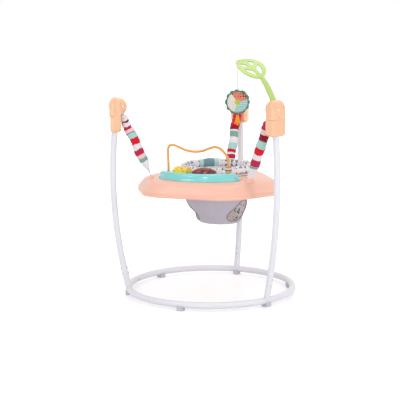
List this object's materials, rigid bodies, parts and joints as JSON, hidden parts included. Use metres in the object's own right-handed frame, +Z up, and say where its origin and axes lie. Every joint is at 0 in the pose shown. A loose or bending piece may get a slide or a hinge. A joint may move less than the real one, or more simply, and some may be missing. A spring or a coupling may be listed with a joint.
{
  "type": "baby jumper frame",
  "caption": "Free-standing baby jumper: bowed legs on a floor ring carry a toy tray with a turning fabric seat on sleeved springs.",
  "frame": {"origin": "centre of the floor ring, on the floor", "axes": "+Z up; the child faces -Y, towards the toys; +X to the child's left"},
  "size_m": [0.7572, 0.7846, 0.9841],
  "materials": {
    "powder_white": "satin powder coat",
    "bright_steel": "zinc-plated",
    "foot_plastic": "moulded, matt",
    "cap_plastic": "moulded, glossy",
    "tray_plastic": "moulded, glossy",
    "console_plastic": "moulded, glossy",
    "wire_coating": "plastic-coated wire, glossy",
    "drum_plastic": "translucent, glossy",
    "dome_plastic": "translucent, glossy",
    "yellow_plastic": "moulded, glossy",
    "purple_plastic": "moulded, glossy",
    "white_plastic": "moulded, glossy",
    "amber_plastic": "moulded, glossy",
    "leaf_plastic": "translucent, glossy",
    "seat_plastic": "moulded, satin",
    "sleeve_fabric": "striped knit, gathered",
    "strap_fabric": "woven webbing",
    "seat_fabric": "plain weave, padded",
    "collar_fabric": "printed cotton, padded",
    "plush_fabric": "short plush with felt patches",
    "ribbon_fabric": "satin ribbon",
    "string_fabric": "twisted cord"
  },
  "bodies": {
    "frame": {"ring_front_half": "powder_white", "ring_rear_half": "powder_white", "ring_joiners": "bright_steel", "ring_screws": "bright_steel", "ring_feet": "foot_plastic", "left_leg": "powder_white", "right_leg": "powder_white", "rear_leg": "powder_white", "leg_bolts": "bright_steel", "left_cap_body": "cap_plastic", "right_cap_body": "cap_plastic", "rear_cap_body": "cap_plastic", "left_cap_cover": "cap_plastic", "right_cap_cover": "cap_plastic", "rear_cap_cover": "cap_plastic", "cap_screws": "bright_steel", "anchor_pins": "bright_steel", "left_spring": "bright_steel", "right_spring": "bright_steel", "rear_spring": "bright_steel", "left_sleeve": "sleeve_fabric", "right_sleeve": "sleeve_fabric", "rear_sleeve": "sleeve_fabric"},
    "tray": {"left_strap": "strap_fabric", "right_strap": "strap_fabric", "rear_strap": "strap_fabric", "strap_bars": "bright_steel", "strap_sliders": "seat_plastic", "tray_top": "tray_plastic", "tray_bottom": "tray_plastic", "tray_screws": "bright_steel", "console": "console_plastic", "roller_axle": "bright_steel", "bead_wire": "wire_coating", "dome_spring": "bright_steel"},
    "seat": {"seat_ring": "seat_plastic", "seat_keeper": "seat_plastic", "seat_glides": "seat_plastic", "seat_bucket": "seat_fabric", "seat_collar": "collar_fabric"},
    "drum": {"roller_drum": "drum_plastic"},
    "dome": {"push_dome": "dome_plastic"},
    "yellow_bead": {"bead_yellow": "yellow_plastic"},
    "purple_bead": {"bead_purple": "purple_plastic"},
    "white_bead": {"bead_white": "white_plastic"},
    "orange_bead": {"bead_orange": "amber_plastic"},
    "leaf": {"leaf_arm": "leaf_plastic"},
    "plush": {"toy_string": "string_fabric", "plush_toy": "plush_fabric", "ribbon_tail": "ribbon_fabric"}
  },
  "joints": [
    {"name": "bounce", "type": "slide", "parent": "frame", "child": "tray", "axis": [0, 0, 1], "range_m": [-0.1, 0.03], "stiffness_N_per_m": 1500, "springref_m": 0.02479, "deforming": ["left_spring", "right_spring", "rear_spring", "left_sleeve", "right_sleeve", "rear_sleeve"]},
    {"name": "seat_swivel", "type": "hinge", "parent": "tray", "child": "seat", "pos_m": [0, 0.08, 0.5], "axis": [0, 0, 1], "continuous": true},
    {"name": "drum_spin", "type": "hinge", "parent": "tray", "child": "drum", "pos_m": [-0.0586, -0.17019, 0.5265], "axis": [0.9455, -0.3256, 0], "continuous": true},
    {"name": "dome_press", "type": "slide", "parent": "tray", "child": "dome", "axis": [0, 0, 1], "range_m": [-0.004, 0], "stiffness_N_per_m": 1500, "springref_m": 0.003, "deforming": ["dome_spring"]},
    {"name": "yellow_lift", "type": "slide", "parent": "tray", "child": "yellow_bead", "axis": [0, 0, 1], "range_m": [0, 0.005]},
    {"name": "purple_lift", "type": "slide", "parent": "yellow_bead", "child": "purple_bead", "axis": [0, 0, 1], "range_m": [0, 0.005]},
    {"name": "white_lift", "type": "slide", "parent": "purple_bead", "child": "white_bead", "axis": [0, 0, 1], "range_m": [0, 0.005]},
    {"name": "orange_lift", "type": "slide", "parent": "white_bead", "child": "orange_bead", "axis": [0, 0, 1], "range_m": [0, 0.005]},
    {"name": "leaf_turn", "type": "hinge", "parent": "frame", "child": "leaf", "pos_m": [0.33028, -0.19069, 0.82895], "axis": [-0.4589, 0.265, 0.848], "range_deg": [-75, 75]},
    {"name": "plush_swing", "type": "hinge", "parent": "leaf", "child": "plush", "pos_m": [0.15, -0.087, 0.9721], "axis": [0.342, -0.9397, 0], "range_deg": [-40, 40]}
  ]
}
